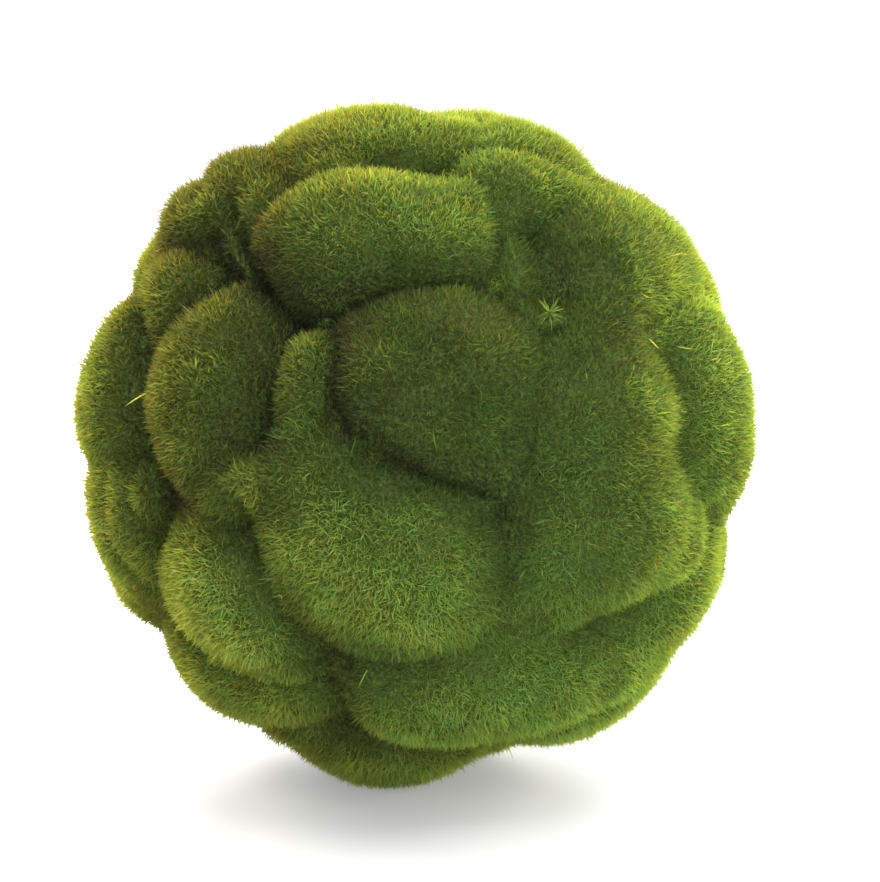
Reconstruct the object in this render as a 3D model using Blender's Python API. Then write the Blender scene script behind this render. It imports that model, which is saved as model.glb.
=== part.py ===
"""Moss clump: a ball of rounded moss cushions packed side by side, resting on its flattened foot.

Every cushion is one tuft. Its stems start at the middle of the clump and fan out to a domed
face, so each is a wedge with an ellipsoid dome, parted from its neighbours by flat radial creases.
"""

import math

import bmesh
import bpy
import numpy as np
from mathutils import Matrix, Vector

MM = 0.001
FOOT_HEIGHT = 97.0  # from the resting plane to the middle of the clump
MIDDLE = Vector((0.49, 0.64, FOOT_HEIGHT))  # where all the stems meet, in millimetres
CREASE = 0.3  # clear gap between neighbouring cushions, in millimetres
ROOT_REACH = 26.0  # how far a cushion's blank runs past the middle before it is cut
SEGMENTS = 18
RINGS = 12
SHARP_ANGLE = math.radians(40.0)

# name: (longitude, latitude) of the dome's axis in degrees, seen from the middle, with longitude 0
# to the front and 90 to the right; half-length and half-width of the dome, its turn about the axis
# in degrees, the distance from the middle to its top, and the depth of the domed part, in mm.
CUSHIONS = {
    "upper_pad": ((-12, 50), 39, 25, 0, 104, 30),
    "crown_left": ((-34, 74), 36, 30, 20, 103, 30),
    "crown_right": ((52, 68), 36, 30, 0, 103, 30),
    "ridge": ((28, 58), 28, 18, 10, 102, 26),
    "hollow": ((29, 38), 20, 22, 0, 96, 24),
    "upper_right": ((46, 38), 24, 32, 0, 102, 30),
    "shoulder_right": ((76, 41), 25, 32, 0, 102, 28),
    "right_edge": ((69, 10), 28, 42, 0, 104, 32),
    "centre_right": ((37, 13), 31, 32, 0, 102, 31),
    "centre": ((3, 20), 36, 34, 0, 104, 32),
    "lower_right": ((37, -9), 36, 30, 20, 104, 32),
    "small_left": ((-20, 19), 13, 24, 0, 98, 26),
    "left_pad": ((-42, 17), 26, 35, 0, 102, 30),
    "lower_middle": ((-7, -10), 42, 34, -35, 104, 32),
    "tongue": ((-32, 0), 18, 14, 0, 99, 24),
    "lower_left": ((-36, -21), 33, 29, -28, 103, 30),
    "left_upper_edge": ((-72, 14), 24, 33, 0, 103, 28),
    "left_lower_edge": ((-70, -12), 26, 33, 0, 100.5, 28),
    "thin_left": ((-55, -4), 11, 18, 0, 97, 26),
    "bottom_left": ((-47, -42), 40, 24, 0, 100, 28),
    "bottom_middle": ((12, -43), 42, 24, 0, 103, 30),
    "foot": ((-28, -74), 39, 30, 0, 101.5, 30),
    "right_low": ((60, -22), 29, 34, 0, 102, 30),
    "right_bottom": ((51, -45), 38, 32, 0, 104, 31),
    "upper_left": ((-70, 51), 29, 30, 0, 104, 29),
    "crescent": ((-50, 50), 12, 22, 0, 100, 28),
    "left_high": ((-60, 32), 22, 20, 0, 101, 26),
    "crown_back_left": ((-142, 66), 38, 31, 0, 102, 31),
    "crown_back_right": ((140, 66), 37, 32, 10, 102, 31),
    "back_high_left": ((-110, 34), 33, 31, 0, 100, 31),
    "back_high_mid_left": ((-140, 28), 35, 32, 15, 103, 31),
    "back_high_middle": ((179, 32), 35, 34, 0, 102, 32),
    "back_high_mid_right": ((140, 26), 36, 33, -20, 103, 32),
    "back_high_right": ((106, 30), 31, 34, 0, 102, 31),
    "back_edge_right": ((99, 2), 28, 30, 0, 101, 30),
    "back_right": ((102, -28), 32, 30, 0, 103, 30),
    "back_mid_right": ((130, -8), 34, 35, 0, 103, 32),
    "back_middle": ((165, -8), 36, 36, 25, 104, 33),
    "back_mid_left": ((-162, -6), 32, 36, 0, 102, 32),
    "back_left": ((-128, -6), 36, 35, -15, 103, 32),
    "back_edge_left": ((-97, 6), 26, 30, 0, 102, 30),
    "back_far_left": ((-97, -24), 28, 32, 0, 102, 30),
    "back_low_left": ((-104, -52), 36, 30, 0, 102, 31),
    "back_low_mid_left": ((-143, -40), 38, 32, 10, 103, 32),
    "back_low_middle": ((179, -40), 36, 33, 0, 102, 32),
    "back_low_mid_right": ((138, -42), 36, 32, 0, 103, 31),
    "back_low_right": ((94, -54), 34, 30, 0, 102, 31),
    "base": ((158, -76), 44, 40, 0, 102, 33),
}

# base colours of the tufts, in turn: (red, green, blue)
TONES = (
    (0.075, 0.165, 0.022),
    (0.095, 0.190, 0.028),
    (0.060, 0.150, 0.024),
    (0.110, 0.185, 0.026),
    (0.070, 0.180, 0.034),
)
ROUGHNESS = 0.9
METALLIC = 0.0


def axes_of(longitude, latitude, turn):
    """The dome's length, width and outward directions."""
    lon, lat, spin = (math.radians(v) for v in (longitude, latitude, turn))
    out = Vector((math.sin(lon) * math.cos(lat), -math.cos(lon) * math.cos(lat), math.sin(lat)))
    east = Vector((math.cos(lon), math.sin(lon), 0.0))
    north = out.cross(east)
    along = math.cos(spin) * east + math.sin(spin) * north
    across = -math.sin(spin) * east + math.cos(spin) * north
    return along, across, out


def dome_heights(rays):
    """How far each dome reaches from the middle along each ray: one column for each cushion."""
    columns = []
    for (lon, lat), half_a, half_b, turn, top, depth in CUSHIONS.values():
        along, across, out = (np.array(v) for v in axes_of(lon, lat, turn))
        frame = np.stack([along / half_a, across / half_b, out / depth])
        start = frame @ (out * (depth - top))
        step = rays @ frame.T
        a = (step**2).sum(axis=1)
        b = step @ start
        c = start @ start - 1.0
        inside = b * b - a * c
        reach = (-b + np.sqrt(np.maximum(inside, 0.0))) / a
        columns.append(np.where((inside > 0.0) & (reach > 0.0), reach, 0.0))
    return np.stack(columns, axis=1)


def even_rays(count):
    """Directions spread evenly over a sphere along a golden spiral."""
    k = np.arange(count) + 0.5
    z = 1.0 - 2.0 * k / count
    turn = k * math.pi * (3.0 - math.sqrt(5.0))
    flat = np.sqrt(1.0 - z * z)
    return np.stack([flat * np.cos(turn), flat * np.sin(turn), z], axis=1)


def crease_vectors():
    """One vector for each cushion. The flat crease between two cushions has the difference of
    their vectors as its normal, so all the creases meet in lines and leave no hole between them.
    They are fitted so that each crease runs where its two domes are equally high."""
    rays = even_rays(24000)
    heights = dome_heights(rays)
    order = np.argsort(-heights, axis=1)
    rows = np.arange(len(rays))
    first, second = order[:, 0], order[:, 1]
    level = heights[rows, first] - heights[rows, second] < 0.8
    count = len(CUSHIONS)
    outs = np.array([axes_of(lon, lat, turn)[2] for (lon, lat), _, _, turn, _, _ in CUSHIONS.values()])
    left, right, seen = first[level], second[level], rays[level]
    samples = len(seen)
    system = np.zeros((samples + 3 * count, 3 * count))
    known = np.zeros(samples + 3 * count)
    for axis in range(3):
        system[np.arange(samples), 3 * left + axis] = seen[:, axis]
        system[np.arange(samples), 3 * right + axis] = -seen[:, axis]
    stiffness = 0.25
    system[samples:] = stiffness * np.eye(3 * count)
    known[samples:] = stiffness * outs.reshape(-1)
    return np.linalg.lstsq(system, known, rcond=None)[0].reshape(count, 3)


def neighbours(vectors):
    """Pairs of cushions that share a crease."""
    rays = even_rays(60000)
    reach = rays @ vectors.T
    order = np.argsort(-reach, axis=1)
    rows = np.arange(len(rays))
    near = reach[rows, order[:, 0]] - reach[rows, order[:, 1]] < 0.03
    third = reach[rows, order[:, 0]] - reach[rows, order[:, 2]] < 0.03
    pairs = {tuple(sorted(map(int, pair))) for pair in order[near][:, :2]}
    pairs |= {tuple(sorted((int(row[0]), int(row[2])))) for row in order[third]}
    return pairs


def cut_flat(mesh, point, outward):
    """Cuts off what lies beyond a plane, and closes the cut with one flat face."""
    everything = mesh.verts[:] + mesh.edges[:] + mesh.faces[:]
    cut = bmesh.ops.bisect_plane(
        mesh, geom=everything, dist=1e-4, plane_co=point, plane_no=outward, clear_outer=True
    )
    rim = [item for item in cut["geom_cut"] if isinstance(item, bmesh.types.BMEdge) and item.is_boundary]
    if rim:
        bmesh.ops.contextual_create(mesh, geom=rim)


def cushion_mesh(index, vectors, pairs):
    (lon, lat), half_a, half_b, turn, top, depth = list(CUSHIONS.values())[index]
    along, across, out = axes_of(lon, lat, turn)
    mesh = bmesh.new()
    bmesh.ops.create_uvsphere(mesh, u_segments=SEGMENTS, v_segments=RINGS, radius=1.0)
    inward = top - depth + ROOT_REACH
    for vert in mesh.verts:
        vert.co.x *= half_a
        vert.co.y *= half_b
        vert.co.z *= depth if vert.co.z > 0.0 else inward
    place = Matrix((along, across, out)).transposed().to_4x4()
    place.translation = MIDDLE + out * (top - depth)
    bmesh.ops.transform(mesh, matrix=place, verts=mesh.verts)
    for pair in sorted(pairs):
        if index not in pair:
            continue
        other = pair[0] if pair[1] == index else pair[1]
        outward = Vector(vectors[other] - vectors[index]).normalized()
        cut_flat(mesh, MIDDLE - outward * CREASE / 2, outward)
    cut_flat(mesh, Vector((0.0, 0.0, 0.0)), Vector((0.0, 0.0, -1.0)))
    bmesh.ops.remove_doubles(mesh, verts=mesh.verts, dist=0.02)
    bmesh.ops.dissolve_degenerate(mesh, edges=mesh.edges, dist=0.02)
    bmesh.ops.scale(mesh, vec=(MM, MM, MM), verts=mesh.verts)
    bmesh.ops.triangulate(mesh, faces=[face for face in mesh.faces if len(face.verts) > 4])
    bmesh.ops.recalc_face_normals(mesh, faces=mesh.faces)
    return mesh


def moss_material(name, tone):
    material = bpy.data.materials.new(name + "_moss")
    material.use_nodes = True
    shader = material.node_tree.nodes["Principled BSDF"]
    shader.inputs["Base Color"].default_value = (*tone, 1.0)
    shader.inputs["Roughness"].default_value = ROUGHNESS
    shader.inputs["Metallic"].default_value = METALLIC
    return material


def build():
    for old in list(bpy.data.objects):
        bpy.data.objects.remove(old, do_unlink=True)
    clump = bpy.data.collections.new("moss_clump")
    bpy.context.scene.collection.children.link(clump)
    vectors = crease_vectors()
    pairs = neighbours(vectors)
    for index, name in enumerate(CUSHIONS):
        shape = cushion_mesh(index, vectors, pairs)
        data = bpy.data.meshes.new(name)
        shape.to_mesh(data)
        shape.free()
        data.materials.append(moss_material(name, TONES[index % len(TONES)]))
        data.shade_smooth()
        data.set_sharp_from_angle(angle=SHARP_ANGLE)
        clump.objects.link(bpy.data.objects.new(name, data))


build()
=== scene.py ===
"""Moss clump: soft green cushions of upright shoots, packed into a ball that rests on its foot."""

import math

import bmesh
import bpy
import numpy as np
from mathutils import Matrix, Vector


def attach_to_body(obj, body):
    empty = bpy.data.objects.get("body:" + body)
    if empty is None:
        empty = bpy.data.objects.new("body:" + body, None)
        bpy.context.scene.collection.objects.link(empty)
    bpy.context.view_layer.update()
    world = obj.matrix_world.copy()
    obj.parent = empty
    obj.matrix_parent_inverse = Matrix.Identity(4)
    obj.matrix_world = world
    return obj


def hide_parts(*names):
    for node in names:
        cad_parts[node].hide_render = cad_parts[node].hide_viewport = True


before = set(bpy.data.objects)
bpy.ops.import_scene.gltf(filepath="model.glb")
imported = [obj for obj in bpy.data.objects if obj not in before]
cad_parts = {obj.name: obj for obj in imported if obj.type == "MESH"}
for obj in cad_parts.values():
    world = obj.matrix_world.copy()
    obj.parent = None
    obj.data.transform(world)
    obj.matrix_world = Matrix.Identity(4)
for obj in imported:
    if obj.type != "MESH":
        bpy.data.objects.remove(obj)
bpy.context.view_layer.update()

MM = 0.001
MIDDLE = np.array([0.49, 0.64, 97.0])  # where the stems meet, in millimetres
BALL = 97.0  # the clump's own radius, mm, which turns bump sizes into angles
CREASE_LEVEL = 95.0  # distance from the middle where a crease's width is measured, mm
DEEPEST = 84.0  # how near the middle the moss's face comes where cushions part, mm
MERGED_RISE = 5.0  # how much higher that level is where cushions have grown together, mm
SHOOT = 3.3  # length of a moss shoot, mm
ROOT_DEPTH = 2.6  # how far the shoots' roots lie below the moss's face, mm
MAT_DROP = 0.15  # how far the mats' tops lie below the roots, mm
SNUG = 0.0042  # how much the mats are spread, as a share of their width, to close their parting lines
RESTING_LEVEL = 0.6  # height that the mats keep clear of the ground, mm
SHOOT_COUNT = 430000
SPARE = 1.28  # directions tried for each shoot, so that steep and far places get enough of them
SHORT_SHARE = 0.56  # share of the shoots that are short straight ones, low among the others
CURVED_SHARE = 0.03  # share of the shoots that are long and curved
STRAW_SHARE = 0.012  # share of the shoots that have dried
SEED = 20

# The shoots' shapes, in the order in which they lie in their box.
BENT_SHAPES = 8
CURVED_SHAPES = 4
STRAY_SHAPE = 10
SHORT_SHAPE = 12

# The shoots' families of greens.
LEAF, OLIVE, COOL, STRAW = 0.0, 1.0, 2.0, 3.0
FAMILIES = 4.0

CAMERA_TILT = 10.0  # degrees down
CAMERA_DISTANCE = 1.0  # m from the target
CAMERA_ASIDE = 6.4  # how far the target lies to the right of the middle, mm
LENS = 141.3  # mm, on a sensor 36 mm wide
FLOOR_HALF = 1.3  # half the floor's width, m

# name: (longitude, latitude) of the dome's axis in degrees, seen from the middle; half-length and
# half-width of the dome, its turn about the axis, the distance from the middle to its top, and the
# depth of the domed part, in mm. They are the same domes as the solid cushions have.
CUSHIONS = {
    "upper_pad": ((-12, 50), 39, 25, 0, 104, 30),
    "crown_left": ((-34, 74), 36, 30, 20, 103, 30),
    "crown_right": ((52, 68), 36, 30, 0, 103, 30),
    "ridge": ((28, 58), 28, 18, 10, 102, 26),
    "hollow": ((29, 38), 20, 22, 0, 96, 24),
    "upper_right": ((46, 38), 24, 32, 0, 102, 30),
    "shoulder_right": ((76, 41), 25, 32, 0, 102, 28),
    "right_edge": ((69, 10), 28, 42, 0, 104, 32),
    "centre_right": ((37, 13), 31, 32, 0, 102, 31),
    "centre": ((3, 20), 36, 34, 0, 104, 32),
    "lower_right": ((37, -9), 36, 30, 20, 104, 32),
    "small_left": ((-20, 19), 13, 24, 0, 98, 26),
    "left_pad": ((-42, 17), 26, 35, 0, 102, 30),
    "lower_middle": ((-7, -10), 42, 34, -35, 104, 32),
    "tongue": ((-32, 0), 18, 14, 0, 99, 24),
    "lower_left": ((-36, -21), 33, 29, -28, 103, 30),
    "left_upper_edge": ((-72, 14), 24, 33, 0, 103, 28),
    "left_lower_edge": ((-70, -12), 26, 33, 0, 100.5, 28),
    "thin_left": ((-55, -4), 11, 18, 0, 97, 26),
    "bottom_left": ((-47, -42), 40, 24, 0, 100, 28),
    "bottom_middle": ((12, -43), 42, 24, 0, 103, 30),
    "foot": ((-28, -74), 39, 30, 0, 101.5, 30),
    "right_low": ((60, -22), 29, 34, 0, 102, 30),
    "right_bottom": ((51, -45), 38, 32, 0, 104, 31),
    "upper_left": ((-70, 51), 29, 30, 0, 104, 29),
    "crescent": ((-50, 50), 12, 22, 0, 100, 28),
    "left_high": ((-60, 32), 22, 20, 0, 101, 26),
    "crown_back_left": ((-142, 66), 38, 31, 0, 102, 31),
    "crown_back_right": ((140, 66), 37, 32, 10, 102, 31),
    "back_high_left": ((-110, 34), 33, 31, 0, 100, 31),
    "back_high_mid_left": ((-140, 28), 35, 32, 15, 103, 31),
    "back_high_middle": ((179, 32), 35, 34, 0, 102, 32),
    "back_high_mid_right": ((140, 26), 36, 33, -20, 103, 32),
    "back_high_right": ((106, 30), 31, 34, 0, 102, 31),
    "back_edge_right": ((99, 2), 28, 30, 0, 101, 30),
    "back_right": ((102, -28), 32, 30, 0, 103, 30),
    "back_mid_right": ((130, -8), 34, 35, 0, 103, 32),
    "back_middle": ((165, -8), 36, 36, 25, 104, 33),
    "back_mid_left": ((-162, -6), 32, 36, 0, 102, 32),
    "back_left": ((-128, -6), 36, 35, -15, 103, 32),
    "back_edge_left": ((-97, 6), 26, 30, 0, 102, 30),
    "back_far_left": ((-97, -24), 28, 32, 0, 102, 30),
    "back_low_left": ((-104, -52), 36, 30, 0, 102, 31),
    "back_low_mid_left": ((-143, -40), 38, 32, 10, 103, 32),
    "back_low_middle": ((179, -40), 36, 33, 0, 102, 32),
    "back_low_mid_right": ((138, -42), 36, 32, 0, 103, 31),
    "back_low_right": ((94, -54), 34, 30, 0, 102, 31),
    "base": ((158, -76), 44, 40, 0, 102, 33),
}

# name: points (longitude, latitude) along the crease, its depth, and how far it spreads to the left
# and to the right of the way along it, in mm. The cushion on the narrow side laps over the other.
CREASES = {
    "under_upper_pad_left": ([(-54, 49), (-44, 41), (-33, 35), (-25, 30), (-18, 30)], 8.0, 3.4, 3.4),
    "under_upper_pad_right": ([(-18, 30), (-10, 33), (-1, 36), (9, 37), (17, 35)], 4.5, 5.0, 1.6),
    "left_pad_right": ([(-24, 28), (-26, 23), (-27, 16), (-27, 8)], 5.0, 2.4, 3.0),
    "small_left_right": ([(-16, 29), (-14, 22), (-14, 16), (-12, 12)], 4.0, 4.0, 2.0),
    "middle_right": ([(16, -4), (17, -8), (17, -12), (16, -17)], 4.0, 7.5, 6.5),
    "lower_left_right": (
        [(-30, -2), (-29, -8), (-27, -15), (-24, -21), (-19, -27), (-13, -34)], 7.5, 2.4, 6.5),
    "lower_left_below": (
        [(-57, -21), (-56, -29), (-46, -35), (-33, -37), (-21, -36), (-14, -38)], 4.5, 1.4, 5.0),
    "left_edge": ([(-62, 28), (-61, 21), (-59, 14), (-56, 6), (-51, -1)], 5.0, 1.4, 4.5),
    "left_pocket": ([(-57, 3), (-54, -4), (-55, -10)], 10.0, 8.0, 3.0),
    "left_low_edge": ([(-66, -2), (-66, -12), (-62, -22)], 3.0, 1.4, 3.0),
    "left_high_right": ([(-58, 43), (-50, 39), (-48, 35)], 6.0, 6.0, 6.0),
    "upper_left_pocket": ([(-80, 52), (-66, 48)], 6.0, 3.4, 3.4),
    "under_crown": ([(-66, 60), (-49, 63), (-28, 65), (-5, 64), (8, 61)], 1.8, 3.0, 1.8),
    "upper_pad_end": ([(8, 61), (20, 56), (21, 48), (19, 40), (19, 34)], 4.5, 6.0, 2.4),
    "centre_below": ([(-9, 11), (-3, 7), (3, 3), (10, 1), (15, -1)], 3.0, 4.5, 2.0),
    "under_crown_right": ([(9, 63), (26, 65), (44, 62), (58, 57), (71, 51)], 4.0, 4.5, 1.4),
    "crown_pocket": ([(30, 70), (38, 71)], 4.5, 3.0, 3.0),
    "crown_notch": ([(78, 79), (34, 70)], 4.0, 3.0, 3.0),
    "right_band": ([(47, 24), (53, 20), (56, 13), (54, 7), (51, 1)], 1.2, 4.0, 1.8),
    "right_edge_top": ([(85, 27), (63, 29), (48, 26)], 3.5, 2.0, 4.0),
    "shoulder_slot": ([(90, 33), (80, 31)], 4.0, 2.5, 2.5),
    "right_low_cut": ([(60, 0), (60, -7)], 3.0, 2.5, 2.5),
    "lower_right_below": ([(61, -8), (59, -15), (52, -19), (45, -22)], 4.5, 8.5, 2.2),
    "lower_right_tail": ([(47, -22), (38, -26), (28, -31)], 2.4, 9.0, 6.0),
    "bottom_lobe_edge": ([(20, -52), (31, -49), (41, -45), (51, -42)], 3.5, 2.0, 3.5),
    "foot_cut": ([(-21, -37), (-15, -42), (-12, -50), (1, -58), (19, -61)], 5.0, 1.4, 6.0),
    "middle_below": ([(-19, -27), (-14, -31), (-6, -32), (2, -30)], 3.5, 1.4, 4.0),
    "hollow_floor": ([(33, 45), (32, 40), (30, 36)], 7.0, 9.0, 9.0),
    "hollow_side": ([(41, 47), (37, 39)], 3.0, 9.0, 9.0),
    "under_star": ([(26, 28), (29, 28)], 3.5, 3.0, 3.0),
}

# Low swellings that join neighbours: the same measures as a cushion's dome.
SWELLINGS = {
    "shoulder_join": ((60, 40), 27, 32, 0, 102, 30),
    "foot_join": ((-47, -57), 26, 16, 0, 97, 26),
    "small_left_join": ((-17, 4), 18, 16, 0, 99, 10),
}

# Places where neighbours have grown softly into one another: (longitude, latitude), radius in
# degrees, and how much the crease is softened there, mm.
SOFT_SPOTS = [
    ((33, 46), 14, 1.0), ((-10, 70), 14, 1.2), ((17, -8), 11, 1.5), ((24, -25), 13, 3.0),
    ((22, 12), 15, 3.0), ((37, 27), 10, 2.5), ((58, 12), 9, 1.5), ((-19, 7), 8, 2.0),
    ((-38, -4), 8, 1.5), ((14, 1), 7, 1.5), ((55, 45), 14, 2.0), ((30, -38), 14, 1.5),
]

# Broad patches of painted light and shade, where the green is painted deeper or fresher to stand for
# how
# light falls on the clump: (longitude, latitude), radius in degrees, and the change of tone.
PAINTED_LIGHT_AND_SHADE = [
    ((5, 18), 22, -0.39), ((37, 14), 18, -0.10), ((-42, 16), 15, -0.28), ((-34, 46), 12, -0.20),
    ((42, 36), 18, -0.23), ((37, -9), 15, -0.09), ((33, 40), 9, -0.18), ((-34, 0), 10, -0.07),
    ((-36, -24), 13, 0.12), ((8, -38), 24, 0.05), ((-25, 74), 15, -0.02), ((-40, -62), 18, -0.05),
    ((-70, 50), 18, -0.32), ((-60, 31), 12, -0.16), ((-72, 14), 14, -0.08), ((-10, -12), 16, 0.06),
    ((58, -46), 20, 0.14), ((48, 66), 16, -0.14), ((28, 56), 9, -0.05),
    ((-54, -4), 4, -0.35), ((-20, 18), 8, -0.06), ((76, 42), 16, -0.06), ((70, 8), 16, -0.05),
]

# Single long shoots that stand out: where each roots, the place it points to, its length, mm.
STRAYS = [
    ((-52, 14), (-56, 12), 6.0), ((47, 24), (48, 22), 4.5), ((56, 22), (60, 20), 4.5),
    ((62, 24), (62, 22), 4.5), ((-24, -17), (-22, -14), 5.0), ((-10, -33), (-12, -36), 5.0),
    ((7, 41), (10, 43), 5.5),
]
STAR = ((27, 31), 32, 5.0)  # where the star-shaped tuft stands, its number of shoots, their length


# ---------------------------------------------------------------- the moss's face


def axes_of(longitude, latitude, turn):
    """The dome's length, width and outward directions."""
    lon, lat, spin = (math.radians(v) for v in (longitude, latitude, turn))
    out = np.array([math.sin(lon) * math.cos(lat), -math.cos(lon) * math.cos(lat), math.sin(lat)])
    east = np.array([math.cos(lon), math.sin(lon), 0.0])
    north = np.cross(out, east)
    along = math.cos(spin) * east + math.sin(spin) * north
    across = -math.sin(spin) * east + math.cos(spin) * north
    return along, across, out


def degrees_from(rays, place):
    """How many degrees each ray is from a place (longitude, latitude)."""
    return np.degrees(np.arccos(np.clip(rays @ axes_of(*place, 0.0)[2], -1.0, 1.0)))


def dome_heights(rays, domes=CUSHIONS):
    """How far each dome reaches from the middle along each ray: one column for each dome."""
    columns = []
    for (lon, lat), half_a, half_b, turn, top, depth in domes.values():
        along, across, out = axes_of(lon, lat, turn)
        squash = np.stack([along / half_a, across / half_b, out / depth])
        start = squash @ (out * (depth - top))
        step = rays @ squash.T
        a = (step**2).sum(axis=1)
        b = step @ start
        c = start @ start - 1.0
        inside = b * b - a * c
        reach = (-b + np.sqrt(np.maximum(inside, 0.0))) / a
        columns.append(np.where((inside > 0.0) & (reach > 0.0), reach, 0.0))
    return np.stack(columns, axis=1)


def waves(rays, size, seed, count=14):
    """Smooth bumpy noise over the ball, about -1 to 1, with bumps about this many mm across."""
    rng = np.random.default_rng(seed)
    push = rng.normal(size=(count, 3))
    push /= np.linalg.norm(push, axis=1, keepdims=True)
    push *= rng.uniform(0.7, 1.4, (count, 1)) * BALL * math.pi / size
    phase = rng.uniform(0.0, 2.0 * math.pi, count)
    return np.sin(rays @ push.T + phase).sum(axis=1) / math.sqrt(count / 2.0) / 1.6


def crease_depths(rays):
    """How deep the creases cut at each ray, mm."""
    deepest = np.zeros(len(rays))
    for points, depth, left, right in CREASES.values():
        stops = np.array([axes_of(lon, lat, 0.0)[2] for lon, lat in points])
        nearest = np.full(len(rays), 9.0)
        side = np.zeros(len(rays))
        for a, b in zip(stops[:-1], stops[1:]):
            run = b - a
            along = np.clip((rays - a) @ run / (run @ run), 0.0, 1.0)
            gap = np.linalg.norm(rays - a - along[:, None] * run, axis=1)
            closer = gap < nearest
            nearest = np.where(closer, gap, nearest)
            side = np.where(closer, rays @ np.cross(a, b) / np.linalg.norm(run), side)
        share = np.clip(0.5 + 0.5 * side / np.maximum(nearest, 0.004), 0.0, 1.0)
        spread = right + (left - right) * share
        away = np.sqrt((nearest * CREASE_LEVEL)**2 + 0.36)
        deepest = np.maximum(deepest, depth * np.exp(-((away / spread) ** (1.2 + 0.1 * spread))))
    return deepest


def smooth_step(value, low, high):
    """0 up to low, 1 from high on, and a smooth rise between."""
    t = np.clip((value - low) / (high - low), 0.0, 1.0)
    return t * t * (3.0 - 2.0 * t)


def grown_together(rays):
    """0 on the front's left, where creases are deep, to 1 on its right, where cushions have merged."""
    right = smooth_step(rays[:, 0], -0.12, 0.34)
    back = smooth_step(rays[:, 1], 0.1, 0.6)
    return np.clip(right + 0.5 * back * (1.0 - right), 0.0, 1.0)


def face_radius(rays):
    """Distance from the middle to the moss's face along each ray, mm.

    It is a soft maximum of the domes and of a level sphere, less the creases.
    """
    heights = np.hstack([dome_heights(rays), dome_heights(rays, SWELLINGS)])
    merged = grown_together(rays)
    soft = 0.8 + 1.8 * merged
    for at, reach, extra in SOFT_SPOTS:
        soft += extra * np.exp(-((degrees_from(rays, at) / reach) ** 2))
    level = DEEPEST + MERGED_RISE * merged
    best = heights.max(axis=1)
    total = np.exp((heights - best[:, None]) / soft[:, None]).sum(axis=1)
    total += np.exp((level - best) / soft)
    radius = best + soft * np.log(total) - 0.6 * soft
    radius += 0.55 * waves(rays, 24.0, 3) + 0.35 * waves(rays, 11.0, 4)
    return radius - crease_depths(rays)


def face_normals(rays, radius, reach=0.004):
    """Outward directions of the moss's face."""
    side = np.cross(rays, [0.0, 0.0, 1.0])
    flat = np.linalg.norm(side, axis=1) < 1e-3
    side[flat] = [1.0, 0.0, 0.0]
    side /= np.linalg.norm(side, axis=1, keepdims=True)
    up = np.cross(side, rays)
    slopes = []
    for way in (side, up):
        near = rays + way * reach
        near /= np.linalg.norm(near, axis=1, keepdims=True)
        slopes.append((face_radius(near) - radius) / (reach * radius))
    normal = rays - slopes[0][:, None] * side - slopes[1][:, None] * up
    return normal / np.linalg.norm(normal, axis=1, keepdims=True)


def even_rays(count):
    """Directions spread evenly over a sphere along a golden spiral."""
    k = np.arange(count) + 0.5
    z = 1.0 - 2.0 * k / count
    turn = k * math.pi * (3.0 - math.sqrt(5.0))
    flat = np.sqrt(1.0 - z * z)
    return np.stack([flat * np.cos(turn), flat * np.sin(turn), z], axis=1)


# ---------------------------------------------------------------- materials


def node(tree, kind, place, **settings):
    """A new node at a place in the tree, with its settings."""
    made = tree.nodes.new(kind)
    made.location = place
    for key, value in settings.items():
        setattr(made, key, value)
    return made


def mix_colour(tree, place, factor, first, second, blend="MIX"):
    """A colour mix. Each input is a socket, a number or a colour."""
    mix = node(tree, "ShaderNodeMix", place, data_type="RGBA", blend_type=blend)
    for socket, value in ((mix.inputs[0], factor), (mix.inputs[6], first), (mix.inputs[7], second)):
        if isinstance(value, bpy.types.NodeSocket):
            tree.links.new(value, socket)
        elif isinstance(value, tuple):
            socket.default_value = (*value, 1.0)
        else:
            socket.default_value = value
    return mix.outputs[2]


def ramp(tree, place, value, stops):
    """A colour ramp over a value. Each stop is its position and its colour."""
    made = node(tree, "ShaderNodeValToRGB", place)
    band = made.color_ramp
    while len(band.elements) < len(stops):
        band.elements.new(0.5)
    for element, (at, colour) in zip(band.elements, stops):
        element.position = at
        element.color = (*colour, 1.0)
    tree.links.new(value, made.inputs[0])
    return made.outputs[0]


def attribute(tree, place, name):
    """The mesh's own number of that name."""
    return node(tree, "ShaderNodeAttribute", place, attribute_name=name).outputs["Fac"]


def math_node(tree, place, operation, first, second):
    """A sum or comparison of two values. Each is a socket or a number."""
    made = node(tree, "ShaderNodeMath", place, operation=operation)
    for socket, value in ((made.inputs[0], first), (made.inputs[1], second)):
        if isinstance(value, bpy.types.NodeSocket):
            tree.links.new(value, socket)
        else:
            socket.default_value = value
    return made.outputs[0]


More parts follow.
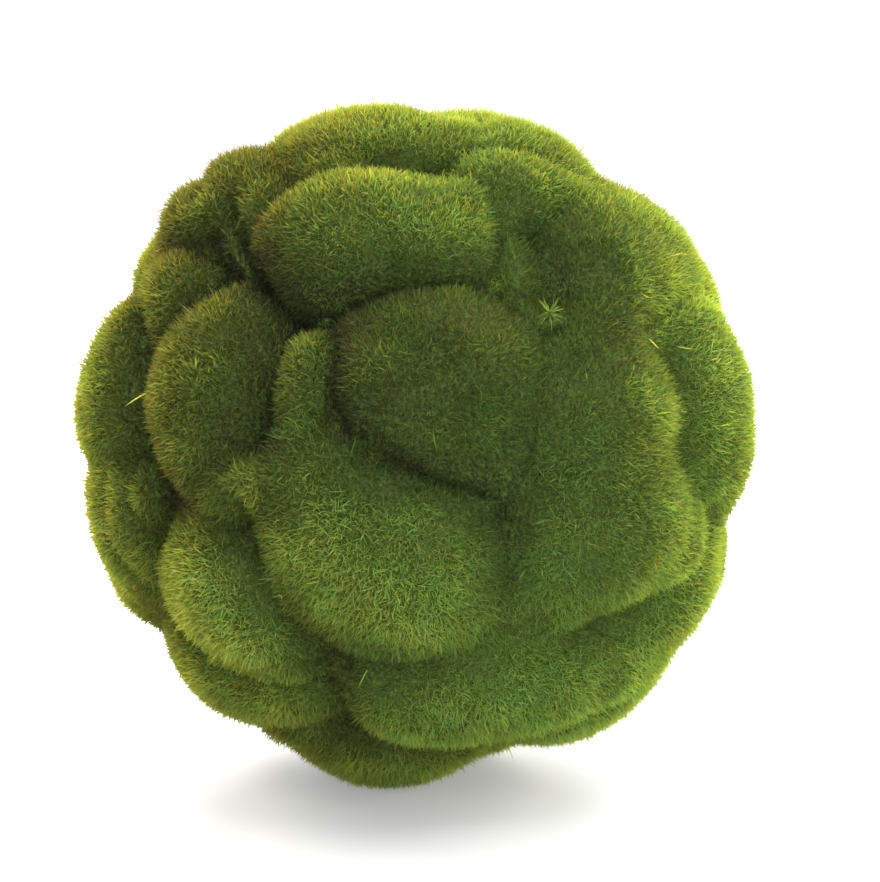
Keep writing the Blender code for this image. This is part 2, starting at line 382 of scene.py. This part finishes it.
def shoot_material():
    """Leafy shoots: tone, which also carries the painted shade of creases and the painted light and
    shade of broad patches, runs from deep to fresh green; kind picks the family of greens.
    """
    material = bpy.data.materials.new("moss_shoots")
    material.use_nodes = True
    tree = material.node_tree
    tree.nodes.clear()
    tone_and_painted_shade = attribute(tree, (-1200, 200), "tone_and_painted_shade")
    along = attribute(tree, (-1200, -200), "along")
    kind = attribute(tree, (-1200, 0), "kind")
    leaf = ramp(tree, (-900, 500), tone_and_painted_shade, [
        (0.0, (0.075, 0.078, 0.040)), (0.3, (0.150, 0.220, 0.054)),
        (0.6, (0.310, 0.460, 0.100)), (1.0, (0.500, 0.700, 0.180))])
    olive = ramp(tree, (-900, 250), tone_and_painted_shade, [
        (0.0, (0.085, 0.078, 0.040)), (0.3, (0.190, 0.220, 0.054)),
        (0.6, (0.380, 0.450, 0.100)), (1.0, (0.560, 0.680, 0.180))])
    cool = ramp(tree, (-900, 0), tone_and_painted_shade, [
        (0.0, (0.070, 0.078, 0.040)), (0.3, (0.125, 0.220, 0.060)),
        (0.6, (0.262, 0.460, 0.112)), (1.0, (0.440, 0.690, 0.205))])
    straw = ramp(tree, (-900, -250), tone_and_painted_shade, [
        (0.0, (0.120, 0.110, 0.030)), (0.5, (0.500, 0.500, 0.100)), (1.0, (0.750, 0.750, 0.220))])
    is_olive = math_node(tree, (-900, -500), "GREATER_THAN", kind, LEAF + 0.5)
    is_cool = math_node(tree, (-900, -650), "GREATER_THAN", kind, OLIVE + 0.5)
    is_straw = math_node(tree, (-900, -800), "GREATER_THAN", kind, COOL + 0.5)
    colour = mix_colour(tree, (-600, 300), is_olive, leaf, olive)
    colour = mix_colour(tree, (-400, 300), is_cool, colour, cool)
    colour = mix_colour(tree, (-200, 300), is_straw, colour, straw)
    # Painted shade: each shoot is painted darker towards its root, where the shoots shade one another,
    # and a little yellower at its fresh tip.
    painted_root_shade = ramp(tree, (-600, -200), along, [
        (0.0, (0.68, 0.68, 0.76)), (0.5, (0.82, 0.84, 0.90)), (1.0, (1.08, 1.0, 0.85))])
    colour = mix_colour(tree, (0, 300), 1.0, colour, painted_root_shade, "MULTIPLY")
    glow = mix_colour(tree, (200, -100), 1.0, colour, (1.24, 0.86, 0.26), "MULTIPLY")
    body = mix_colour(tree, (200, 200), 1.0, colour, (0.73, 1.0, 0.95), "MULTIPLY")
    leafy = node(tree, "ShaderNodeBsdfPrincipled", (200, 400))
    tree.links.new(body, leafy.inputs["Base Color"])
    leafy.inputs["Roughness"].default_value = 0.62
    leafy.inputs["Specular IOR Level"].default_value = 0.10
    through = node(tree, "ShaderNodeBsdfTranslucent", (400, -100))
    tree.links.new(glow, through.inputs["Color"])
    both = node(tree, "ShaderNodeMixShader", (600, 300))
    both.inputs[0].default_value = 0.55
    tree.links.new(leafy.outputs[0], both.inputs[1])
    tree.links.new(through.outputs[0], both.inputs[2])
    out = node(tree, "ShaderNodeOutputMaterial", (800, 300))
    tree.links.new(both.outputs[0], out.inputs["Surface"])
    return material


def thatch_material():
    """The dense brown-green mat of stems under the shoots."""
    material = bpy.data.materials.new("moss_stem_mat")
    material.use_nodes = True
    tree = material.node_tree
    leafy = tree.nodes["Principled BSDF"]
    place = node(tree, "ShaderNodeTexCoord", (-1100, 0)).outputs["Object"]
    fine = node(tree, "ShaderNodeTexNoise", (-850, 150))
    fine.inputs["Scale"].default_value = 900.0
    fine.inputs["Detail"].default_value = 3.0
    broad = node(tree, "ShaderNodeTexNoise", (-850, -150))
    broad.inputs["Scale"].default_value = 90.0
    tree.links.new(place, fine.inputs["Vector"])
    tree.links.new(place, broad.inputs["Vector"])
    speckle = ramp(tree, (-600, 150), fine.outputs[0], [
        (0.30, (0.048, 0.054, 0.018)), (0.52, (0.070, 0.115, 0.020)), (0.75, (0.115, 0.205, 0.030))])
    drift = ramp(tree, (-600, -150), broad.outputs[0], [
        (0.35, (0.75, 0.70, 0.60)), (0.65, (1.0, 1.0, 1.0))])
    colour = mix_colour(tree, (-300, 100), 1.0, speckle, drift, "MULTIPLY")
    tree.links.new(colour, leafy.inputs["Base Color"])
    leafy.inputs["Roughness"].default_value = 0.85
    leafy.inputs["Specular IOR Level"].default_value = 0.15
    bump = node(tree, "ShaderNodeBump", (-300, -200))
    bump.inputs["Strength"].default_value = 0.6
    bump.inputs["Distance"].default_value = 0.0006
    tree.links.new(fine.outputs[0], bump.inputs["Height"])
    tree.links.new(bump.outputs[0], leafy.inputs["Normal"])
    return material


# ---------------------------------------------------------------- stem mats


def outer_end(shape, name, margin):
    """Which points lie on the domed end or the resting face, with all points' rays and distances."""
    points = np.array([v.co for v in shape.verts]) / MM - MIDDLE
    far = np.linalg.norm(points, axis=1)
    rays = points / far[:, None]
    reach = dome_heights(rays)[:, list(CUSHIONS).index(name)]
    return (far > reach - margin) | (points[:, 2] < 0.5 - MIDDLE[2]), rays, far


def stem_mat(name, material):
    """The cushion's wedge of packed stems, with its domed end let down to where the shoots root."""
    shape = bmesh.new()
    shape.from_mesh(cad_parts[name].data)
    bmesh.ops.remove_doubles(shape, verts=shape.verts, dist=0.00002)
    on_dome = outer_end(shape, name, 1.5)[0]
    shape.verts.ensure_lookup_table()
    domed = {shape.verts[i] for i in np.flatnonzero(on_dome)}
    outer = [e for e in shape.edges if e.verts[0] in domed and e.verts[1] in domed]
    bmesh.ops.subdivide_edges(shape, edges=outer, cuts=2, use_grid_fill=True)
    bmesh.ops.triangulate(shape, faces=shape.faces)
    outside, rays, far = outer_end(shape, name, 3.0)
    face = face_radius(rays) - ROOT_DEPTH - MAT_DROP
    moved = np.where(outside, face, np.minimum(far, face))
    out = axes_of(*CUSHIONS[name][0], 0.0)[2]
    sideways = rays - (rays @ out)[:, None] * out
    moved = rays * moved[:, None] + sideways * far[:, None] * SNUG + MIDDLE
    moved[:, 2] = np.maximum(moved[:, 2], RESTING_LEVEL)
    for vert, spot in zip(shape.verts, moved * MM):
        vert.co = spot
    bmesh.ops.dissolve_degenerate(shape, edges=shape.edges, dist=0.00001)
    data = bpy.data.meshes.new(name + "_stems")
    shape.to_mesh(data)
    shape.free()
    data.materials.append(material)
    data.shade_smooth()
    piece = bpy.data.objects.new(name + "_stems", data)
    bpy.context.scene.collection.objects.link(piece)
    return piece


# ---------------------------------------------------------------- shoots


def shoot_mesh(name, bend, curl, width, knees=1):
    """One leafy shoot, 1 long up +Z: a narrow blade, widest near its foot, bent towards +Y."""
    shape = bmesh.new()
    bmesh.ops.create_grid(shape, x_segments=1, y_segments=knees + 1, size=0.5)
    rows = knees + 1
    for vert in shape.verts:
        along = vert.co.y + 0.5
        side = vert.co.x * 2.0
        half = width * (1.0 - along**1.6) * (0.8 + 0.9 * along) / 2.0
        height = along * (1.0 - 0.25 * abs(bend + curl))
        vert.co = (side * half, bend * along**2 + curl * along**3, height)
    bmesh.ops.remove_doubles(shape, verts=shape.verts, dist=0.0005)
    data = bpy.data.meshes.new(name)
    shape.to_mesh(data)
    shape.free()
    along = data.attributes.new("along", "FLOAT", "POINT")
    heights = np.array([v.co.z for v in data.vertices])
    steps = np.round(heights / heights.max() * rows) / rows
    along.data.foreach_set("value", steps.astype(np.float32))
    side = data.attributes.new("side", "FLOAT", "POINT")
    side.data.foreach_set("value", np.array([np.sign(v.co.x) for v in data.vertices], np.float32))
    return bpy.data.objects.new(name, data)


def shoot_kinds():
    """A box of shoots to plant: the bent ones, the curved ones, then a straight one without a knee."""
    box = bpy.data.collections.new("shoot_kinds")
    for index in range(BENT_SHAPES):
        bend = 0.08 + 0.075 * index
        curl = (-0.10, 0.06, 0.0, 0.12)[index % 4]
        box.objects.link(shoot_mesh(f"shoot_{index:02d}", bend, curl, 0.098 + 0.006 * (index % 3)))
    for index in range(CURVED_SHAPES):
        bend = 0.35 + 0.2 * index
        curl = -0.5 + 0.25 * index
        box.objects.link(shoot_mesh(f"shoot_{BENT_SHAPES + index:02d}", bend, curl, 0.07, knees=2))
    box.objects.link(shoot_mesh(f"shoot_{SHORT_SHAPE}", 0.0, 0.0, 0.16, knees=0))
    return box


def planting_tree(box):
    """Geometry nodes that plant one shoot at every point, by the point's pick, aim and size."""
    tree = bpy.data.node_groups.new("plant_shoots", "GeometryNodeTree")
    tree.interface.new_socket("Geometry", in_out="INPUT", socket_type="NodeSocketGeometry")
    tree.interface.new_socket("Geometry", in_out="OUTPUT", socket_type="NodeSocketGeometry")
    start = tree.nodes.new("NodeGroupInput")
    plant = tree.nodes.new("GeometryNodeInstanceOnPoints")
    kinds = tree.nodes.new("GeometryNodeCollectionInfo")
    kinds.inputs["Collection"].default_value = box
    kinds.inputs["Separate Children"].default_value = True
    kinds.inputs["Reset Children"].default_value = True
    plant.inputs["Pick Instance"].default_value = True
    real = tree.nodes.new("GeometryNodeRealizeInstances")
    end = tree.nodes.new("NodeGroupOutput")
    tree.links.new(start.outputs[0], plant.inputs["Points"])
    tree.links.new(kinds.outputs[0], plant.inputs["Instance"])
    for name, kind, socket in (
        ("pick", "INT", "Instance Index"),
        ("aim", "FLOAT_VECTOR", "Rotation"),
        ("size", "FLOAT_VECTOR", "Scale"),
    ):
        read = tree.nodes.new("GeometryNodeInputNamedAttribute")
        read.data_type = kind
        read.inputs["Name"].default_value = name
        value = read.outputs["Attribute"]
        if name == "aim":
            turn = tree.nodes.new("FunctionNodeEulerToRotation")
            tree.links.new(value, turn.inputs[0])
            value = turn.outputs[0]
        tree.links.new(value, plant.inputs[socket])
    tree.links.new(plant.outputs[0], real.inputs[0])
    tree.links.new(real.outputs[0], end.inputs[0])
    return tree


def aim_angles(ways, rolls):
    """XYZ Euler angles that stand a shoot along each way and roll it about itself."""
    helper = np.where(np.abs(ways[:, 2:3]) > 0.9, [[1.0, 0.0, 0.0]], [[0.0, 0.0, 1.0]])
    first = np.cross(helper, ways)
    first /= np.linalg.norm(first, axis=1, keepdims=True)
    second = np.cross(ways, first)
    x = np.cos(rolls)[:, None] * first + np.sin(rolls)[:, None] * second
    y = np.cross(ways, x)
    return np.stack([np.arctan2(y[:, 2], ways[:, 2]), np.arcsin(np.clip(-x[:, 2], -1, 1)),
                     np.arctan2(x[:, 1], x[:, 0])], axis=1)


def plant(name, tree, material, roots, ways, rolls, sizes, picks, tones_and_painted_shade, kinds):
    """Plants the shoots as one joined mesh with its place in its points."""
    seeds = bpy.data.meshes.new(name + "_seeds")
    seeds.vertices.add(len(roots))
    seeds.vertices.foreach_set("co", (roots * MM).astype(np.float32).reshape(-1))
    for key, kind, values in (
        ("pick", "INT", picks.astype(np.int32)), ("aim", "FLOAT_VECTOR", aim_angles(ways, rolls)),
        ("size", "FLOAT_VECTOR", sizes * MM), ("tone_and_painted_shade", "FLOAT", tones_and_painted_shade), ("kind", "FLOAT", kinds),
    ):
        layer = seeds.attributes.new(key, kind, "POINT")
        if kind != "INT":
            values = np.ascontiguousarray(values, np.float32).reshape(-1)
        layer.data.foreach_set("vector" if kind == "FLOAT_VECTOR" else "value", values)
    bed = bpy.data.objects.new(name + "_bed", seeds)
    bpy.context.scene.collection.objects.link(bed)
    bed.modifiers.new("plant", "NODES").node_group = tree
    graph = bpy.context.evaluated_depsgraph_get()
    grown = bpy.data.meshes.new_from_object(bed.evaluated_get(graph), depsgraph=graph)
    bpy.data.objects.remove(bed, do_unlink=True)
    bpy.data.meshes.remove(seeds)
    grown.name = name
    settle(grown)
    lay_out(grown)
    for key in ("pick", "aim", "size", "side"):
        if key in grown.attributes:
            grown.attributes.remove(grown.attributes[key])
    grown.materials.clear()
    grown.materials.append(material)
    piece = bpy.data.objects.new(name, grown)
    bpy.context.scene.collection.objects.link(piece)
    return piece


def settle(grown):
    """Presses shoots that would reach below the resting level flat, to between 0.2 and 0.6 mm."""
    spots = np.empty(len(grown.vertices) * 3, np.float32)
    grown.vertices.foreach_get("co", spots)
    spots = spots.reshape(-1, 3)
    low = spots[:, 2] < RESTING_LEVEL * MM
    under = np.minimum(spots[low, 2] / MM - RESTING_LEVEL, 0.0)
    spots[low, 2] = (0.2 + 0.4 * np.exp(under)) * MM
    grown.vertices.foreach_set("co", spots.reshape(-1))


def read_values(grown, name):
    """One number for each of the mesh's points."""
    values = np.empty(len(grown.vertices), np.float32)
    grown.attributes[name].data.foreach_get("value", values)
    return values


def lay_out(grown):
    """A map where every shoot of one tone and kind lies on the same narrow strip, root to tip."""
    tone_and_painted_shade, kind, along, side = (read_values(grown, n) for n in ("tone_and_painted_shade", "kind", "along", "side"))
    corner = np.empty(len(grown.loops), np.int32)
    grown.loops.foreach_get("vertex_index", corner)
    across = 0.02 + 0.96 * tone_and_painted_shade + 0.004 * side
    up = (np.round(kind) + 0.03 + 0.94 * along) / FAMILIES
    layer = grown.uv_layers.new(name="OFBake")
    layout = np.stack([across, up], axis=1)[corner]
    layer.data.foreach_set("uv", layout.astype(np.float32).reshape(-1))


def stray_shoots(rng):
    """The lone long shoots and the star-shaped tuft: roots, ways, sizes, picks, tones and kinds."""
    starts = np.array([axes_of(*at, 0.0)[2] for at, _, _ in STRAYS])
    ends = np.array([axes_of(*to, 0.0)[2] for _, to, _ in STRAYS])
    ways = ends - starts
    ways /= np.linalg.norm(ways, axis=1, keepdims=True)
    ways += 0.25 * starts
    roots = starts * (face_radius(starts) - 0.3)[:, None]
    lengths = np.array([length for _, _, length in STRAYS])
    (lon, lat), count, reach = STAR
    along, across, out = axes_of(lon, lat, 0.0)
    spin = 2.0 * math.pi * (np.arange(count) + rng.uniform(0.0, 0.8, count)) / count
    tilt = np.radians(rng.uniform(35.0, 88.0, count))
    fan = np.outer(np.cos(spin), along) + np.outer(np.sin(spin), across)
    star = np.cos(tilt)[:, None] * out + np.sin(tilt)[:, None] * fan
    centre = out * (face_radius(out[None])[0] + 0.6)
    ways = np.vstack([ways, star])
    roots = np.vstack([roots, np.tile(centre, (count, 1)) + star * 0.3])
    lengths = np.hstack([lengths, reach * rng.uniform(0.75, 1.1, count)])
    ways /= np.linalg.norm(ways, axis=1, keepdims=True)
    sizes = np.stack([lengths * 1.1, lengths, lengths], axis=1)
    lone = np.arange(len(ways)) < len(STRAYS)
    sizes[~lone, 0] *= 0.6
    picks = np.where(lone, STRAY_SHAPE, np.arange(len(ways)) % BENT_SHAPES)
    tones_and_painted_shade = np.where(lone, 1.0, rng.uniform(0.40, 0.72, len(ways)))
    return roots, ways, sizes, picks, tones_and_painted_shade, np.where(lone, OLIVE, LEAF)


def rooting_places(rng):
    """Where shoots root: rays, distances to the moss's face there, its directions, and the roots."""
    rays = even_rays(int(SHOOT_COUNT * SPARE))
    rays += rng.normal(scale=0.0022, size=rays.shape)
    rays /= np.linalg.norm(rays, axis=1, keepdims=True)
    radius = face_radius(rays)
    normals = face_normals(rays, radius)
    steep = np.clip((normals * rays).sum(axis=1), 0.35, 1.0)
    share = (radius / 100.0) ** 2 / steep
    keep = rng.uniform(size=len(rays)) < share / SPARE
    rays, radius, normals = rays[keep], radius[keep], normals[keep]
    roots = rays * (radius - ROOT_DEPTH)[:, None]
    standing = roots[:, 2] > 1.6 - MIDDLE[2]
    return tuple(values[standing] for values in (rays, radius, normals, roots))


def creased(rays, radius):
    """How deep in a crease each place lies, from 0 on the cushions to 1 at the bottom."""
    tops = np.array([dome[4] for dome in CUSHIONS.values()])[dome_heights(rays).argmax(axis=1)]
    return np.clip((tops - 2.0 - 6.0 * grown_together(rays) - radius) / 11.0, 0.0, 1.0)


def family_kinds(rays, left, rng):
    """Each shoot's family of greens: more olive on the left and below, more cool on the right."""
    chance = rng.uniform(size=len(rays))
    low = smooth_step(-rays[:, 2], 0.6, 0.95)
    olive_share = 0.04 + 0.70 * left + 0.22 * waves(rays, 13.0, 53) + 0.35 * low
    cool_share = 0.36 * (1.0 - left) * (1.0 - low) + 0.03 + 0.12 * waves(rays, 11.0, 54)
    kinds = np.where(chance < olive_share, OLIVE, np.where(chance > 1.0 - cool_share, COOL, LEAF))
    return np.where(rng.uniform(size=len(rays)) < STRAW_SHARE, STRAW, kinds)


def grow_moss(tree, material):
    """Grows the shoots over the whole face, then plants each cushion's own as one piece."""
    rng = np.random.default_rng(SEED)
    rays, radius, normals, roots = rooting_places(rng)
    count = len(rays)
    crease = creased(rays, radius)
    comb = np.stack([waves(rays, 17.0, 31 + k) for k in range(3)], axis=1)
    tuft = np.stack([waves(rays, 5.5, 41 + k, 20) for k in range(3)], axis=1)
    left = smooth_step(-rays[:, 0], -0.45, 0.6)
    short = rng.uniform(size=count) < SHORT_SHARE
    loose = (0.48 - 0.04 * left + 0.08 * short)[:, None]
    lean = 0.05 * comb + (0.12 + 0.16 * left)[:, None] * tuft + rng.normal(size=(count, 3)) * loose
    ways = normals + 0.15 * rays + lean
    ways /= np.linalg.norm(ways, axis=1, keepdims=True)
    patch = waves(rays, 9.0, 51, 18)
    broad = waves(rays, 40.0, 52)
    length = SHOOT * (1.0 + 0.10 * patch + rng.normal(scale=0.15, size=count))
    length *= (1.0 - 0.15 * crease) * (0.84 + 0.12 * left) * np.where(short, 0.82, 1.0)
    wide = rng.uniform(0.85, 1.15, count) * (1.05 + 0.20 * left)
    sizes = np.stack([length * wide, length, length], axis=1)
    # Painted shade: shoots are painted darker the deeper they stand in a crease, on top of a tone that
    # differs at random.
    tones_and_painted_shade = 0.60 + 0.07 * patch + 0.04 * broad + rng.normal(scale=0.04, size=count) - 0.45 * crease
    # Painted light and shade: the broad patches paint the green deeper or fresher where light falls
    # less or more.
    for at, reach, change in PAINTED_LIGHT_AND_SHADE:
        tones_and_painted_shade += change * np.exp(-((degrees_from(rays, at) / reach) ** 2))
    # Painted shade: the short shoots, which stand low among the others, are painted a little darker.
    tones_and_painted_shade -= 0.06 * short
    tones_and_painted_shade = np.clip(tones_and_painted_shade, 0.0, 1.0)
    kinds = family_kinds(rays, left, rng)
    picks = np.where(short, SHORT_SHAPE, rng.integers(0, BENT_SHAPES, count))
    lone = rng.uniform(size=count) < CURVED_SHARE
    picks = np.where(lone, rng.integers(BENT_SHAPES, BENT_SHAPES + CURVED_SHAPES, count), picks)
    sizes *= np.where(lone, rng.uniform(1.2, 1.6, count), 1.0)[:, None]
    rolls = rng.uniform(0.0, 2.0 * math.pi, count)
    extra = stray_shoots(rng)
    roots, ways, sizes = (np.vstack([a, b]) for a, b in zip((roots, ways, sizes), extra[:3]))
    picks, tones_and_painted_shade, kinds = (np.hstack([a, b]) for a, b in zip((picks, tones_and_painted_shade, kinds), extra[3:]))
    rolls = np.hstack([rolls, rng.uniform(0.0, 2.0 * math.pi, len(roots) - count)])
    owner = dome_heights(roots / np.linalg.norm(roots, axis=1, keepdims=True)).argmax(axis=1)
    roots = roots + MIDDLE
    pieces = {}
    for index, name in enumerate(CUSHIONS):
        mine = owner == index
        pieces[name] = plant(name + "_shoots", tree, material, roots[mine], ways[mine], rolls[mine],
                             sizes[mine], picks[mine], tones_and_painted_shade[mine], kinds[mine])
    return pieces


def attach(piece, name):
    """Hangs the piece under the clump's one body and hides the cushion's solid of that name."""
    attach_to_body(piece, "root")
    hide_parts(name)


# ---------------------------------------------------------------- stage


def aim_camera(target):
    """A camera in front of the clump, tilted a little down."""
    data = bpy.data.cameras.new("camera")
    camera = bpy.data.objects.new("camera", data)
    bpy.context.scene.collection.objects.link(camera)
    tilt = math.radians(CAMERA_TILT)
    camera.location = target + Vector((0.0, -math.cos(tilt), math.sin(tilt))) * CAMERA_DISTANCE
    camera.rotation_euler = (math.radians(90.0) - tilt, 0.0, 0.0)
    data.sensor_fit = "HORIZONTAL"
    data.sensor_width = 36.0
    data.lens = LENS
    bpy.context.scene.camera = camera


def lamp(target, name, place, size, power, colour=(1.0, 1.0, 1.0)):
    """A soft round lamp that faces the clump: its place and width in m, its power in W."""
    light = bpy.data.lights.new(name, "AREA")
    light.shape = "DISK"
    light.size = size
    light.energy = power
    light.color = colour
    made = bpy.data.objects.new(name, light)
    bpy.context.scene.collection.objects.link(made)
    made.location = place
    made.rotation_euler = (target - Vector(place)).to_track_quat("-Z", "Y").to_euler()


def light_room(target):
    """Soft light from above and behind, a weak one from the front, in a white room."""
    lamp(target, "top_light", (0.1, -0.35, 1.45), 0.9, 14.0)
    lamp(target, "back_panel", (0.25, 1.2, 1.3), 2.4, 85.0)
    lamp(target, "back_right_light", (1.0, 0.65, 0.35), 0.7, 30.0, (1.0, 0.97, 0.88))
    lamp(target, "back_left_light", (-0.9, 0.8, 0.7), 0.7, 26.0, (1.0, 0.95, 0.85))
    lamp(target, "front_fill", (0.3, -1.3, 0.08), 1.0, 9.0)
    world = bpy.data.worlds.new("white_room")
    bpy.context.scene.world = world
    world.use_nodes = True
    background = world.node_tree.nodes["Background"]
    background.inputs["Color"].default_value = (1.0, 1.0, 1.0, 1.0)
    background.inputs["Strength"].default_value = 1.2
    bpy.context.scene.view_settings.view_transform = "Standard"


def floor():
    """A plain white floor under the clump."""
    shape = bmesh.new()
    bmesh.ops.create_grid(shape, x_segments=1, y_segments=1, size=FLOOR_HALF)
    data = bpy.data.meshes.new("floor")
    shape.to_mesh(data)
    shape.free()
    material = bpy.data.materials.new("white_floor")
    material.use_nodes = True
    surface = material.node_tree.nodes["Principled BSDF"]
    surface.inputs["Base Color"].default_value = (0.45, 0.45, 0.45, 1.0)
    surface.inputs["Roughness"].default_value = 0.6
    surface.inputs["Emission Color"].default_value = (1.0, 1.0, 1.0, 1.0)
    surface.inputs["Emission Strength"].default_value = 0.26
    data.materials.append(material)
    made = bpy.data.objects.new("floor", data)
    bpy.context.scene.collection.objects.link(made)


target = Vector((MIDDLE[0] + CAMERA_ASIDE, MIDDLE[1], MIDDLE[2])) * MM
aim_camera(target)
light_room(target)
floor()
mat = thatch_material()
green = shoot_material()
for name in CUSHIONS:
    attach(stem_mat(name, mat), name)
shoots = grow_moss(planting_tree(shoot_kinds()), green)
for name, piece in shoots.items():
    attach(piece, name)
